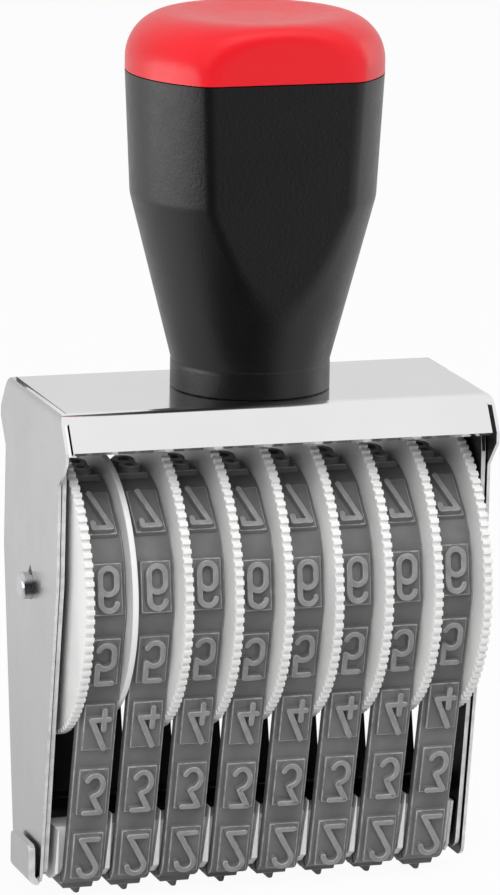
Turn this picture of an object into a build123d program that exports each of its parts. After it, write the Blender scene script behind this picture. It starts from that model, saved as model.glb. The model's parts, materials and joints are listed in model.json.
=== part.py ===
"""Hand numbering machine with eight figure bands, upright on its printing face.

Millimetres, +Z up, origin on the printing face under the middle of the handle.
X runs along the axle, and -Y is the front, where the figures are read and set.
"""

from build123d import *
import os
from math import asin, atan2, cos, degrees, hypot, radians, sin

# ---------------------------------------------------------------- bands
bands = 8
figures = 14            # figure places round one band
band_width = 4.4
band_thickness = 1.2
pad_width = 3.65        # raised pad that carries one figure
pad_length = 5.45
pad_height = 0.55
figure_relief = 0.65    # figures stand this far above their pad
figure_length = 5.0
figure_stroke = 0.62

# ---------------------------------------------------------------- band run
axle_height = 34.8      # axle centre above the printing face
drum_neutral_radius = 11.75     # middle of the band on the drum
anvil_flat = 5.8        # flat width of the printing line
anvil_neutral_radius = 1.4      # middle of the band round the anvil edge

# ---------------------------------------------------------------- wheels
flange_radius = 16.5    # over the tips of the teeth
flange_thickness = 0.95
tooth_count = 100
tooth_height = 0.42
drum_clearance = 0.1    # drum to the inside of the band
drum_length = 4.7
band_shift = 0.1        # the bands lie this far right of the middle of their drums
bore_clearance = 0.05   # wheel bore to axle
end_play = 0.05         # between neighbours on the axle

divider_radius = 14.75
divider_thickness = 0.7

# ---------------------------------------------------------------- axle
axle_radius = 1.75
axle_end_radius = 1.5
axle_stub = 1.4         # beyond the cover
axle_chamfer = 0.3
hole_clearance = 0.05
teardrop_rise = 2.4     # apex of the cover's axle hole above its centre

# ---------------------------------------------------------------- sheet metal
frame_sheet = 0.75
cover_sheet = 0.75
head_clearance = 1.1    # wheel teeth to the screw head under the roof
roof_depth = 21.0       # front to back, at the top of the lip bends
roof_bend = 1.2         # outside radius over the side plates
lip_bend = 1.5          # outside radius over the lips
lip_reach = 2.65        # lip edge beyond the roof edge, front and back
lip_drop = 3.8          # lip edge below the roof
lip_slit = 0.1          # lip end to side plate
ear_drop = 4.4          # widest point of the side plate below the roof
ear_radius = 0.6
waist_drop = 7.9        # where the side plate comes back to its body width
plate_depth = 21.8      # side plate body, front to back
taper_rise = 2.3        # the side plate starts to taper this far above the axle
plate_foot_depth = 10.4
plate_foot_height = 2.0
plate_foot_radius = 1.6
hook_width = 7.4
hook_shift = 1.2        # the hook lies this far in front of the axle
hook_gap = 0.65         # inside the folded hook
hook_top = 6.5
hook_corner = 0.8

frame_setback = 0.25    # frame leg edge inside the cover's side plate
frame_top_depth = 17.2
frame_foot_height = 2.9
frame_shoulder_drop = 6.5       # where the frame leg reaches its body width

# ---------------------------------------------------------------- anvil and tie bar
anvil_clearance = 0.1   # anvil to the inside of the bands
anvil_top = 8.5
fin_clearance = 0.15    # fin to the sides of the bands
fin_tip_thickness = 0.3
fin_top = 10.0
fin_setback = 0.35      # fin edge inside the face of the bands
cheek_thickness = 0.85
cheek_clearance = 0.05
cheek_reach = 1.4       # cheek edge outside the band's inner face
peg_radius = 0.8
peg_height = 6.0
tie_bar_height = 2.35
tie_bar_depth = 2.6
tie_bar_edge = 0.25
tie_bar_clearance = 0.05

# ---------------------------------------------------------------- handle
neck_radius = 8.8
neck_height = 3.1
neck_bottom_chamfer = 0.7
neck_groove = 0.25
neck_groove_height = 0.35
shoulder_radius = 13.5
shoulder_height = 21.5  # above the roof
shoulder_round = 4.0
handle_top_radius = 14.2
handle_height = 35.1    # roof to the seam under the cap
flat_distance = 11.2    # front and back flats from the handle axis, at the seam
flat_draft = 1.6        # degrees that the flats lean out towards the top
flat_edge = 0.8         # round along the edges of the flats
socket_radius = 8.6
socket_depth = 3.4
socket_clearance = 0.06
cap_height = 6.4
cap_round = 5.0
cap_flat_edge = 1.4     # softer round where the crown meets the flats
cap_seam = 0.12
dish_radius = 8.6
dish_depth = 0.5
dish_floor_radius = 5.0

# ---------------------------------------------------------------- handle screw
screw_radius = 2.0
screw_hole_depth = 14.0         # in the handle, above the roof
screw_tip_clearance = 1.0       # screw tip to the bottom of its hole
screw_clearance = 0.08
screw_head_radius = 3.6
screw_head_height = 1.7
screw_slot_width = 0.9
screw_slot_depth = 0.7
washer_radius = 4.6
washer_thickness = 0.5

# ================================================================ worked out
# Height of the band's neutral line, inner face and anvil edge centres.
neutral_height = figure_relief + pad_height + band_thickness / 2
corner_height = neutral_height + anvil_neutral_radius

# The straight runs of the band lean out from the anvil to the drum.
centre_rise = axle_height - corner_height
centre_distance = hypot(anvil_flat / 2, centre_rise)
lean = degrees(
    asin((drum_neutral_radius - anvil_neutral_radius) / centre_distance)
    - atan2(anvil_flat / 2, centre_rise)
)
run_length = (centre_distance**2 - (drum_neutral_radius - anvil_neutral_radius) ** 2) ** 0.5
corner_length = anvil_neutral_radius * radians(90 - lean)
drum_arc_length = drum_neutral_radius * radians(180 + 2 * lean)
band_length = anvil_flat + 2 * corner_length + 2 * run_length + drum_arc_length
figure_step = band_length / figures

# The roof clears the screw head, which clears the wheels.
wheel_top = axle_height + flange_radius
web_bottom = wheel_top + head_clearance + screw_head_height + washer_thickness
frame_top = web_bottom + frame_sheet
roof_height = frame_top + cover_sheet
taper_start = axle_height + taper_rise

# Along the axle: wheel 1 has its flange outside, then comes the divider disc,
# and the other wheels have their flanges on the right.
wheel_width = flange_thickness + drum_length
stack_width = bands * wheel_width + divider_thickness + (bands + 2) * end_play
half_inside = stack_width / 2
frame_outside = half_inside + frame_sheet
cover_outside = frame_outside + cover_sheet
drum_radius = drum_neutral_radius - band_thickness / 2 - drum_clearance
bore_radius = axle_radius + bore_clearance


def wheel_start(index):
    """Left end of a wheel along the axle."""
    start = -half_inside + end_play + index * (wheel_width + end_play)
    return start if index == 0 else start + divider_thickness + end_play


def drum_middle(index):
    """Middle of a drum along the axle."""
    flange_first = flange_thickness if index == 0 else 0
    return wheel_start(index) + flange_first + drum_length / 2


def band_middle(index):
    """Middle of a band along the axle."""
    return drum_middle(index) + band_shift


def band_place(travel):
    """Place on the neutral line, at a travel from the middle of the printing line.

    The front run comes first. Its X axis points along the band.
    """
    side = -1 if travel <= band_length / 2 else 1
    along = min(travel, band_length - travel)
    flat = anvil_flat / 2
    if along <= flat:
        return Location((side * along, neutral_height))
    along -= flat
    if along <= corner_length:
        turn = degrees(along / anvil_neutral_radius)
        across = flat + anvil_neutral_radius * sin(radians(turn))
        up = corner_height - anvil_neutral_radius * cos(radians(turn))
        return Location((side * across, up), side * turn)
    along -= corner_length
    turn = 90 - lean
    if along <= run_length:
        across = flat + anvil_neutral_radius * cos(radians(lean)) + along * sin(radians(lean))
        up = corner_height - anvil_neutral_radius * sin(radians(lean)) + along * cos(radians(lean))
        return Location((side * across, up), side * turn)
    turn += degrees((along - run_length) / drum_neutral_radius)
    across = drum_neutral_radius * sin(radians(turn))
    up = axle_height - drum_neutral_radius * cos(radians(turn))
    return Location((side * across, up), side * turn)


figure_places = [band_place(number * figure_step) for number in range(figures)]


def band_outline(distance):
    """Closed outline of the band, at a distance outside its neutral line.

    The band stays flat under each pad and bends between the pads.
    """
    corners = []
    for place in figure_places:
        for end in (pad_length / 2, -pad_length / 2):
            corners.append((place * Pos(end, -distance)).position)
    Polyline(*corners, close=True)


def side_outline(setback, top_depth, shoulder_drop, foot_height):
    """Half of a side plate's outline below its shoulder, as (depth, height) points."""
    body = plate_depth / 2 - setback
    foot = plate_foot_depth / 2 - setback
    return [
        (top_depth / 2, roof_height),
        (body, roof_height - shoulder_drop),
        (body, taper_start),
        (foot, foot_height),
    ]


def mirrored(points):
    """Closed list of points: the given right half and its mirror image."""
    return points + [(-across, up) for across, up in reversed(points)]


# ================================================================ bands
def make_band(index):
    middle = band_middle(index)
    inner = -band_thickness / 2
    outer = band_thickness / 2
    with BuildPart() as band:
        # Rubber loop on its fabric.
        with BuildSketch(Plane.YZ.offset(middle)):
            with BuildLine():
                band_outline(outer)
            make_face()
            with BuildLine():
                band_outline(inner)
            make_face(mode=Mode.SUBTRACT)
        extrude(amount=band_width / 2, both=True)
        # Raised pads, one for each figure.
        with BuildSketch(Plane.YZ.offset(middle)):
            for place in figure_places:
                with Locations(place * Pos(0, -outer)):
                    Rectangle(pad_length, pad_height, align=(Align.CENTER, Align.MAX))
        extrude(amount=pad_width / 2, both=True)
        # The stroke of the figure 1 that stands on the printing line, rooted in its pad.
        with BuildSketch(Plane.XY):
            with Locations((middle, 0)):
                Rectangle(figure_stroke, figure_length)
        extrude(amount=figure_relief + pad_height / 2)
    return band


# ================================================================ wheels
def make_wheel(index):
    start = wheel_start(index)
    left_hand = index == 0
    flange_start = start if left_hand else start + drum_length
    outline = []
    for corner in range(2 * tooth_count):
        radius = flange_radius - tooth_height * (corner % 2)
        turn = radians(180 * corner / tooth_count)
        outline.append((radius * cos(turn), axle_height + radius * sin(turn)))
    with BuildPart() as wheel:
        with BuildSketch(Plane.YZ.offset(flange_start)):
            with BuildLine():
                Polyline(*outline, close=True)
            make_face()
        extrude(amount=flange_thickness)
        with BuildSketch(Plane.YZ.offset(start)):
            with Locations((0, axle_height)):
                Circle(drum_radius)
        extrude(amount=wheel_width)
        with BuildSketch(Plane.YZ.offset(start)):
            with Locations((0, axle_height)):
                Circle(bore_radius)
        extrude(amount=wheel_width, mode=Mode.SUBTRACT)
    return wheel


# ================================================================ divider disc
divider_start = wheel_start(0) + wheel_width + end_play
with BuildPart() as divider_disc:
    with BuildSketch(Plane.YZ.offset(divider_start)):
        with Locations((0, axle_height)):
            Circle(divider_radius)
            Circle(bore_radius, mode=Mode.SUBTRACT)
    extrude(amount=divider_thickness)

# ================================================================ axle
axle_shoulder = half_inside - end_play / 2
axle_half = cover_outside + axle_stub
with BuildPart() as axle:
    with BuildSketch(Plane.YZ):
        with Locations((0, axle_height)):
            Circle(axle_radius)
    extrude(amount=axle_shoulder, both=True)
    with BuildSketch(Plane.YZ):
        with Locations((0, axle_height)):
            Circle(axle_end_radius)
    extrude(amount=axle_half, both=True)
    ends = axle.faces().sort_by(Axis.X)
    chamfer(ends[0].edges() + ends[-1].edges(), length=axle_chamfer)

# ================================================================ frame
tie_bar_bottom = anvil_top
peg_hole_radius = peg_radius + hole_clearance
with BuildPart() as frame:
    # Inverted channel, bent from one strip.
    with BuildSketch(Plane.XZ):
        with Locations((0, frame_top / 2)):
            Rectangle(2 * frame_outside, frame_top)
        fillet(vertices().group_by(Axis.Y)[-1], radius=roof_bend - cover_sheet + frame_sheet)
        with Locations((0, (frame_top - frame_sheet) / 2)):
            Rectangle(2 * half_inside, frame_top - frame_sheet, mode=Mode.SUBTRACT)
    extrude(amount=plate_depth / 2, both=True)
    # Tapered legs.
    legs = side_outline(frame_setback, frame_top_depth, frame_shoulder_drop, frame_foot_height)
    with BuildSketch(Plane.YZ):
        with BuildLine():
            Polyline(*mirrored(legs), close=True)
        make_face()
        fillet(vertices().group_by(Axis.Y)[0], radius=plate_foot_radius)
    extrude(amount=frame_outside, both=True, mode=Mode.INTERSECT)
    # Axle, peg and tie bar holes through both legs.
    with BuildSketch(Plane.YZ):
        with Locations((0, axle_height)):
            Circle(axle_end_radius + hole_clearance)
        with Locations((0, peg_height)):
            Circle(peg_hole_radius)
        with Locations((0, tie_bar_bottom + tie_bar_height / 2)):
            Rectangle(tie_bar_depth + 2 * tie_bar_clearance, tie_bar_height + 2 * tie_bar_clearance)
    extrude(amount=frame_outside, both=True, mode=Mode.SUBTRACT)
    # Screw hole in the web.
    with BuildSketch(Plane.XY.offset(frame_top)):
        Circle(screw_radius + screw_clearance)
    extrude(amount=-frame_sheet, mode=Mode.SUBTRACT)

# ================================================================ cover
lip_edge_depth = roof_depth / 2 + lip_reach
lip_edge_height = roof_height - lip_drop
hook_centre = cover_outside + hook_gap / 2
hook_outer_radius = hook_gap / 2 + cover_sheet
hook_centre_height = plate_foot_height + hook_outer_radius
with BuildPart() as cover:
    # Roof and side plates, bent from one sheet.
    with BuildSketch(Plane.XZ):
        with Locations((0, roof_height / 2)):
            Rectangle(2 * cover_outside, roof_height)
        fillet(vertices().group_by(Axis.Y)[-1], radius=roof_bend)
        with BuildSketch(mode=Mode.PRIVATE) as inside:
            with Locations((0, (roof_height - cover_sheet) / 2)):
                Rectangle(2 * frame_outside, roof_height - cover_sheet)
            fillet(inside.vertices().group_by(Axis.Y)[-1], radius=roof_bend - cover_sheet)
        add(inside.sketch, mode=Mode.SUBTRACT)
    extrude(amount=lip_edge_depth, both=True)
    # The side plates widen below the roof, come back to a waist and taper to the foot.
    ear_depth = roof_depth / 2 + lip_reach * ear_drop / lip_drop
    plate = [
        (roof_depth / 2, roof_height),
        (ear_depth, roof_height - ear_drop),
        (plate_depth / 2, roof_height - waist_drop),
        (plate_depth / 2, taper_start),
        (plate_foot_depth / 2, plate_foot_height),
    ]
    with BuildSketch(Plane.YZ):
        with BuildLine():
            Polyline(*mirrored(plate), close=True)
        make_face()
        fillet(vertices().group_by(Axis.Y)[0], radius=plate_foot_radius)
        fillet(vertices().group_by(Axis.Y)[-1], radius=lip_bend)
        fillet(vertices().sort_by(Axis.X)[0], radius=ear_radius)
        fillet(vertices().sort_by(Axis.X)[-1], radius=ear_radius)
    extrude(amount=cover_outside, both=True, mode=Mode.INTERSECT)
    # Front and back lips, turned down and outward from the roof.
    lip_end = frame_outside - lip_slit
    with BuildSketch(Plane.YZ):
        with BuildLine():
            FilletPolyline(
                (-lip_edge_depth, lip_edge_height),
                (-roof_depth / 2, roof_height),
                (roof_depth / 2, roof_height),
                (lip_edge_depth, lip_edge_height),
                radius=lip_bend,
            )
            offset(amount=cover_sheet, side=Side.RIGHT)
        make_face()
    extrude(amount=lip_end, both=True)
    # Hook folded out and up at the foot of the left side plate, which ends at the fold.
    hook_plane = Plane.XZ.offset(hook_shift)
    plate_middle = cover_outside - cover_sheet / 2
    with BuildSketch(hook_plane):
        with Locations((-plate_middle, hook_centre_height / 2)):
            Rectangle(cover_sheet, hook_centre_height)
    extrude(amount=hook_width / 2, both=True, mode=Mode.SUBTRACT)
    with BuildSketch(hook_plane):
        with Locations((-hook_centre, hook_centre_height)):
            Circle(hook_outer_radius)
            Circle(hook_gap / 2, mode=Mode.SUBTRACT)
        with Locations((-hook_centre, hook_centre_height + hook_outer_radius)):
            Rectangle(2 * hook_outer_radius, 2 * hook_outer_radius, mode=Mode.SUBTRACT)
        with Locations((-plate_middle, hook_centre_height + cover_sheet / 2)):
            Rectangle(cover_sheet, cover_sheet)
        tab_middle = cover_outside + hook_gap + cover_sheet / 2
        tab_rise = hook_top - hook_centre_height
        with Locations((-tab_middle, hook_centre_height + tab_rise / 2)):
            Rectangle(cover_sheet, tab_rise)
    extrude(amount=hook_width / 2, both=True)
    tab_edges = cover.edges().filter_by(Axis.X)
    tab_corners = tab_edges.filter_by(lambda edge: edge.center().X < -cover_outside - hook_gap)
    fillet(tab_corners.group_by(Axis.Z)[-1], radius=hook_corner)
    # Teardrop axle holes.
    hole_radius = axle_end_radius + hole_clearance
    with BuildSketch(Plane.YZ):
        with Locations((0, axle_height)):
            Circle(hole_radius)
        touch = degrees(asin(hole_radius / teardrop_rise))
        side_reach = hole_radius * cos(radians(touch))
        side_rise = hole_radius * sin(radians(touch))
        with BuildLine():
            Polyline(
                (-side_reach, axle_height + side_rise),
                (0, axle_height + teardrop_rise),
                (side_reach, axle_height + side_rise),
                close=True,
            )
        make_face()
    extrude(amount=cover_outside, both=True, mode=Mode.SUBTRACT)
    # Screw hole in the roof.
    with BuildSketch(Plane.XY.offset(roof_height)):
        Circle(screw_radius + screw_clearance)
    extrude(amount=-cover_sheet, mode=Mode.SUBTRACT)

# ================================================================ anvil
anvil_distance = -band_thickness / 2 - anvil_clearance
cheek_start = half_inside - cheek_clearance - cheek_thickness


def anvil_outline(distance, top):
    """Band outline at a distance from the neutral line, cut off flat at a height."""
    with BuildSketch() as outline:
        with BuildLine():
            band_outline(distance)
        make_face()
        with Locations((0, top)):
            Rectangle(
                3 * drum_neutral_radius,
                2 * axle_height,
                align=(Align.CENTER, Align.MIN),
                mode=Mode.SUBTRACT,
            )
    return outline.sketch


fin_outline = anvil_outline(band_thickness / 2 - fin_setback, fin_top)
core_outline = anvil_outline(anvil_distance, anvil_top)
cheek_outline = anvil_outline(anvil_distance + cheek_reach, anvil_top)
with BuildPart() as anvil:
    # Fins between the bands, wedge-shaped towards the top.
    with BuildSketch(Plane.XZ):
        for index in range(bands - 1):
            left = band_middle(index) + band_width / 2 + fin_clearance
            right = band_middle(index + 1) - band_width / 2 - fin_clearance
            middle = (left + right) / 2
            tip = fin_tip_thickness / 2
            with BuildLine():
                Polyline(
                    (left, 0), (right, 0), (middle + tip, fin_top), (middle - tip, fin_top), close=True
                )
            make_face()
    extrude(amount=plate_depth, both=True)
    with BuildSketch(Plane.YZ):
        add(fin_outline)
    extrude(amount=half_inside, both=True, mode=Mode.INTERSECT)
    # Core inside the bands.
    with BuildSketch(Plane.YZ):
        add(core_outline)
    extrude(amount=cheek_start, both=True)
    # End cheeks beside the outer bands.
    for side in (-1, 1):
        with BuildSketch(Plane.YZ.offset(side * cheek_start)):
            add(cheek_outline)
        extrude(amount=side * cheek_thickness)
    # Pegs that hold the anvil in the frame legs.
    with BuildSketch(Plane.YZ):
        with Locations((0, peg_height)):
            Circle(peg_radius)
    extrude(amount=frame_outside - cheek_clearance, both=True)
    # Notches in the fins for the tie bar.
    with BuildSketch(Plane.YZ):
        with Locations((0, anvil_top)):
            Rectangle(
                tie_bar_depth + 2 * tie_bar_clearance,
                fin_top,
                align=(Align.CENTER, Align.MIN),
            )
    extrude(amount=half_inside, both=True, mode=Mode.SUBTRACT)

# ================================================================ tie bar
with BuildPart() as tie_bar:
    with BuildSketch(Plane.YZ):
        with Locations((0, tie_bar_bottom + tie_bar_height / 2)):
            RectangleRounded(tie_bar_depth, tie_bar_height, tie_bar_edge)
    extrude(amount=frame_outside - tie_bar_clearance, both=True)

# ================================================================ handle
seam_height = roof_height + handle_height
neck_top = roof_height + neck_height
flat_planes = [
    Plane(
        origin=(0, side * flat_distance, seam_height),
        x_dir=(1, 0, 0),
        z_dir=(0, side * cos(radians(flat_draft)), -sin(radians(flat_draft))),
    )
    for side in (-1, 1)
]


def flat_edges(piece, lowest, highest):
    """Edges of the front and back flats whose middles lie between two heights."""
    planes = piece.faces().filter_by(GeomType.PLANE)
    flats = planes.filter_by(lambda face: abs(face.normal_at().Y) > abs(face.normal_at().Z))
    return flats.edges().filter_by(lambda edge: lowest < edge.center().Z < highest)


with BuildPart() as handle_body:
    with BuildSketch(Plane.XZ):
        with BuildLine():
            Polyline(
                (0, roof_height),
                (neck_radius - neck_bottom_chamfer, roof_height),
                (neck_radius, roof_height + neck_bottom_chamfer),
                (neck_radius, neck_top - neck_groove_height),
                (neck_radius - neck_groove, neck_top),
                (neck_radius, neck_top + neck_groove),
                (shoulder_radius, roof_height + shoulder_height),
                (handle_top_radius, seam_height),
                (0, seam_height),
                close=True,
            )
        make_face()
        shoulder = vertices().sort_by_distance((shoulder_radius, roof_height + shoulder_height))[0]
        fillet(shoulder, radius=shoulder_round)
    revolve(axis=Axis.Z)
    # Front and back flats, with softened edges.
    for flat in flat_planes:
        split(bisect_by=flat, keep=Keep.BOTTOM)
    fillet(flat_edges(handle_body, roof_height, seam_height - flat_edge), radius=flat_edge)
    # Screw hole from below and socket for the cap.
    with BuildSketch(Plane.XY.offset(roof_height)):
        Circle(screw_radius + screw_clearance)
    extrude(amount=screw_hole_depth, mode=Mode.SUBTRACT)
    with BuildSketch(Plane.XY.offset(seam_height)):
        Circle(socket_radius)
    extrude(amount=-socket_depth, mode=Mode.SUBTRACT)

# ================================================================ cap
cap_bottom = seam_height + cap_seam
cap_top = seam_height + cap_height
with BuildPart() as handle_cap:
    with BuildSketch(Plane.XZ):
        with BuildLine():
            rim = Line((0, cap_bottom), (handle_top_radius, cap_bottom))
            side = Line(rim @ 1, (handle_top_radius, cap_top - cap_round))
            edge = JernArc(side @ 1, (0, 1), cap_round, 90)
            land = Line(edge @ 1, (dish_radius, cap_top))
            Polyline(
                land @ 1,
                (dish_floor_radius, cap_top - dish_depth),
                (0, cap_top - dish_depth),
                rim @ 0,
            )
        make_face()
    revolve(axis=Axis.Z)
    for flat in flat_planes:
        split(bisect_by=flat, keep=Keep.BOTTOM)
    fillet(flat_edges(handle_cap, cap_bottom + cap_seam, cap_top), radius=cap_flat_edge)
    # Spigot that presses into the handle, clear of the bottom of its socket.
    spigot_length = cap_seam + socket_depth - socket_clearance
    with BuildSketch(Plane.XY.offset(cap_bottom)):
        Circle(socket_radius - socket_clearance)
    extrude(amount=-spigot_length)

# ================================================================ handle screw and washer
washer_bottom = web_bottom - washer_thickness
with BuildPart() as handle_washer:
    with BuildSketch(Plane.XY.offset(web_bottom)):
        Circle(washer_radius)
        Circle(screw_radius + screw_clearance, mode=Mode.SUBTRACT)
    extrude(amount=-washer_thickness)

with BuildPart() as handle_screw:
    with BuildSketch(Plane.XY.offset(washer_bottom)):
        Circle(screw_head_radius)
    extrude(amount=-screw_head_height)
    with BuildSketch(Plane.XY.offset(washer_bottom)):
        Circle(screw_radius)
    extrude(amount=roof_height + screw_hole_depth - screw_tip_clearance - washer_bottom)
    with BuildSketch(Plane.XY.offset(washer_bottom - screw_head_height)):
        Rectangle(2 * screw_head_radius, screw_slot_width)
    extrude(amount=screw_slot_depth, mode=Mode.SUBTRACT)

# ================================================================ files
pieces = {
    "cover": cover,
    "frame": frame,
    "axle": axle,
    "divider_disc": divider_disc,
    "anvil": anvil,
    "tie_bar": tie_bar,
    "handle_body": handle_body,
    "handle_cap": handle_cap,
    "handle_screw": handle_screw,
    "handle_washer": handle_washer,
}
for number in range(bands):
    pieces[f"wheel_{number + 1}"] = make_wheel(number)
    pieces[f"band_{number + 1}"] = make_band(number)

os.makedirs("parts", exist_ok=True)
for name, piece in pieces.items():
    piece.part.label = name
    export_step(piece.part, f"parts/{name}.step")
print(f"band length {band_length:.2f}, figure step {figure_step:.3f}, lean {lean:.2f} degrees")
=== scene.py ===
# %% [markdown]
# # A hand numbering machine
# Eight rubber bands carry raised figures round a printing edge at the foot. Each band is turned by the
# toothed wheel beside it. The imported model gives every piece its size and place, in metres. This script
# gives the pieces their finish, and models again those whose look needs more than the solids hold.

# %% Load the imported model
import json
from math import atan2, asin, cos, hypot, pi, radians, sin, tan

import bpy
from mathutils import Matrix, Vector

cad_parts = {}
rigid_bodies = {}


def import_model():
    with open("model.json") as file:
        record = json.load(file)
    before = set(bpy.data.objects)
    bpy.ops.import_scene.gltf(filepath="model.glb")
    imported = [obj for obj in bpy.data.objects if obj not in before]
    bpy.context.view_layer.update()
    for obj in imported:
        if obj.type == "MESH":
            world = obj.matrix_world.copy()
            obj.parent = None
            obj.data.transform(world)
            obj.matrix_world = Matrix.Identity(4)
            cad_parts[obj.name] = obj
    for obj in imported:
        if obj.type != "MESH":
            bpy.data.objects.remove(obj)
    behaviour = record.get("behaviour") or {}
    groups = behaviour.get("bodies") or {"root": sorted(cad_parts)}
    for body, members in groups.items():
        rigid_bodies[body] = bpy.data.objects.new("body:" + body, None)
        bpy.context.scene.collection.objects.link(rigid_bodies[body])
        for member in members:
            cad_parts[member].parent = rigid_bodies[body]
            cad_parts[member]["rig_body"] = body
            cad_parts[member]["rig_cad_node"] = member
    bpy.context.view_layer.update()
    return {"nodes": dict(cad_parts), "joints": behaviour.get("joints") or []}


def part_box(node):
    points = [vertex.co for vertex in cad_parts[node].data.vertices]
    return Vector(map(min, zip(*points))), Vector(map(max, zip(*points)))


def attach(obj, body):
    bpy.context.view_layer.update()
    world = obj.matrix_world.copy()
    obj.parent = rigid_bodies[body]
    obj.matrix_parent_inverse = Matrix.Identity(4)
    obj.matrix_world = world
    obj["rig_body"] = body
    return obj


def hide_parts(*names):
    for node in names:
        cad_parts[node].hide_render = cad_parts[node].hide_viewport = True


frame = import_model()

MM = 0.001
nodes = frame["nodes"]
wheel_joint = frame["joints"][0]
axle_height = wheel_joint["pos_m"][2]
print("packed nodes:", len(nodes), "axle height in mm:", round(axle_height / MM, 2))

# %% [markdown]
# ## Working by hand, in code
# Every edit here is one that a person would make with Blender's own tools. An operator acts on all that is
# selected, so each step first selects one piece alone, and then picks its faces by where they are.


# %% Helpers for selecting and editing
def only(piece):
    """Select one piece and nothing else."""
    bpy.ops.object.select_all(action="DESELECT")
    piece.select_set(True)
    bpy.context.view_layer.objects.active = piece
    return piece


def linked(name, data):
    """Put a curve or a mesh in the scene as a piece."""
    piece = bpy.data.objects.new(name, data)
    bpy.context.scene.collection.objects.link(piece)
    return only(piece)


def added(name):
    """Name the primitive that was just added, and put its place into its mesh."""
    piece = bpy.context.object
    piece.name = name
    only(piece)
    bpy.ops.object.transform_apply(location=True, rotation=True, scale=True)
    return piece


def edit(piece, action="DESELECT", kind="FACE"):
    """Open a piece in edit mode with nothing in it selected, or all of it."""
    only(piece)
    bpy.ops.object.mode_set(mode="EDIT")
    bpy.ops.mesh.select_mode(type=kind)
    bpy.ops.mesh.select_all(action=action)


def pick(piece, test):
    """Open a piece in edit mode with the faces selected that pass a test."""
    edit(piece)
    bpy.ops.object.mode_set(mode="OBJECT")
    for face in piece.data.polygons:
        face.select = test(face)
    bpy.ops.object.mode_set(mode="EDIT")


def close_edit():
    bpy.ops.object.mode_set(mode="OBJECT")


def wire(name, corners, edges):
    """Draw loose edges, and leave them open in edit mode with all of them selected."""
    mesh = bpy.data.meshes.new(name)
    mesh.from_pydata(corners, edges, [])
    piece = linked(name, mesh)
    edit(piece, "SELECT", "VERT")
    return piece


def modify(piece, kind, **settings):
    """Give a piece a modifier and apply it."""
    modifier = piece.modifiers.new(kind.lower(), kind)
    for key, value in settings.items():
        setattr(modifier, key, value)
    only(piece)
    bpy.ops.object.modifier_apply(modifier=modifier.name)
    return piece


def tidy(piece, gap=0.001 * MM):
    """Merge doubled points and turn every face outwards."""
    edit(piece, "SELECT")
    bpy.ops.mesh.remove_doubles(threshold=gap)
    bpy.ops.mesh.normals_make_consistent(inside=False)
    close_edit()
    return piece


def smooth(piece, angle=35):
    only(piece)
    bpy.ops.object.shade_smooth_by_angle(angle=radians(angle))
    return piece


def duplicate(piece, name):
    """A copy with a mesh of its own."""
    only(piece)
    bpy.ops.object.duplicate()
    copy = bpy.context.object
    copy.name = name
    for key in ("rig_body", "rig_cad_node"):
        if key in copy:
            del copy[key]
    copy.parent = None
    return copy


def move(piece, offset):
    """Shift a piece and put its place into its mesh."""
    only(piece)
    bpy.ops.transform.translate(value=offset)
    bpy.ops.object.transform_apply(location=True, rotation=True, scale=True)
    return piece


def join(pieces, name):
    """Make one object of several."""
    bpy.ops.object.select_all(action="DESELECT")
    for piece in pieces:
        piece.select_set(True)
    bpy.context.view_layer.objects.active = pieces[0]
    bpy.ops.object.join()
    whole = bpy.context.object
    whole.name = name
    return whole


def remove(piece):
    only(piece)
    bpy.ops.object.delete()


def belongs(piece, body, slot, *packed):
    """Say which body a finished piece moves with and which nodes it stands for. The slot, what it is made of,
    is not used.
    """
    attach(piece, body)
    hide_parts(*packed)
    print(piece.name, "faces:", len(piece.data.polygons))


# %% [markdown]
# ## Finishes
# Each finish is one Principled shader with three kinds of procedural detail on Object coordinates: the
# colour drifts a little, the roughness drifts more, and a fine grain tilts the light. Object coordinates
# are metres here, so a noise scale of 1000 gives a grain of about one millimetre.


# %% Helpers for materials
def grey(level):
    """Linear value of a grey written as 0 to 255 on screen."""
    value = level / 255
    return value / 12.92 if value <= 0.04045 else ((value + 0.055) / 1.055) ** 2.4


def paint(red, green, blue):
    return (grey(red), grey(green), grey(blue), 1.0)


def finish(name, colour, metallic, roughness):
    """A material with its shader's plain values set on the shader's own sockets."""
    material = bpy.data.materials.new(name)
    material.use_nodes = True
    shader = material.node_tree.nodes["Principled BSDF"]
    shader.inputs["Base Color"].default_value = colour
    shader.inputs["Metallic"].default_value = metallic
    shader.inputs["Roughness"].default_value = roughness
    return material


def noise(material, scale, detail=3.0, stretch=(1, 1, 1)):
    """A noise pattern over the piece, finer along an axis whose stretch is over 1."""
    tree = material.node_tree
    place = tree.nodes.new("ShaderNodeTexCoord")
    mapping = tree.nodes.new("ShaderNodeMapping")
    mapping.inputs["Scale"].default_value = stretch
    pattern = tree.nodes.new("ShaderNodeTexNoise")
    pattern.inputs["Scale"].default_value = scale
    pattern.inputs["Detail"].default_value = detail
    tree.links.new(place.outputs["Object"], mapping.inputs["Vector"])
    tree.links.new(mapping.outputs["Vector"], pattern.inputs["Vector"])
    return pattern.outputs["Fac"]


def vary_colour(material, pattern, low, high):
    """The colour runs from low to high with a pattern."""
    tree = material.node_tree
    ramp = tree.nodes.new("ShaderNodeValToRGB")
    ramp.color_ramp.elements[0].position = 0.3
    ramp.color_ramp.elements[0].color = low
    ramp.color_ramp.elements[1].position = 0.7
    ramp.color_ramp.elements[1].color = high
    tree.links.new(pattern, ramp.inputs["Fac"])
    tree.links.new(ramp.outputs["Color"], tree.nodes["Principled BSDF"].inputs["Base Color"])


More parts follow.
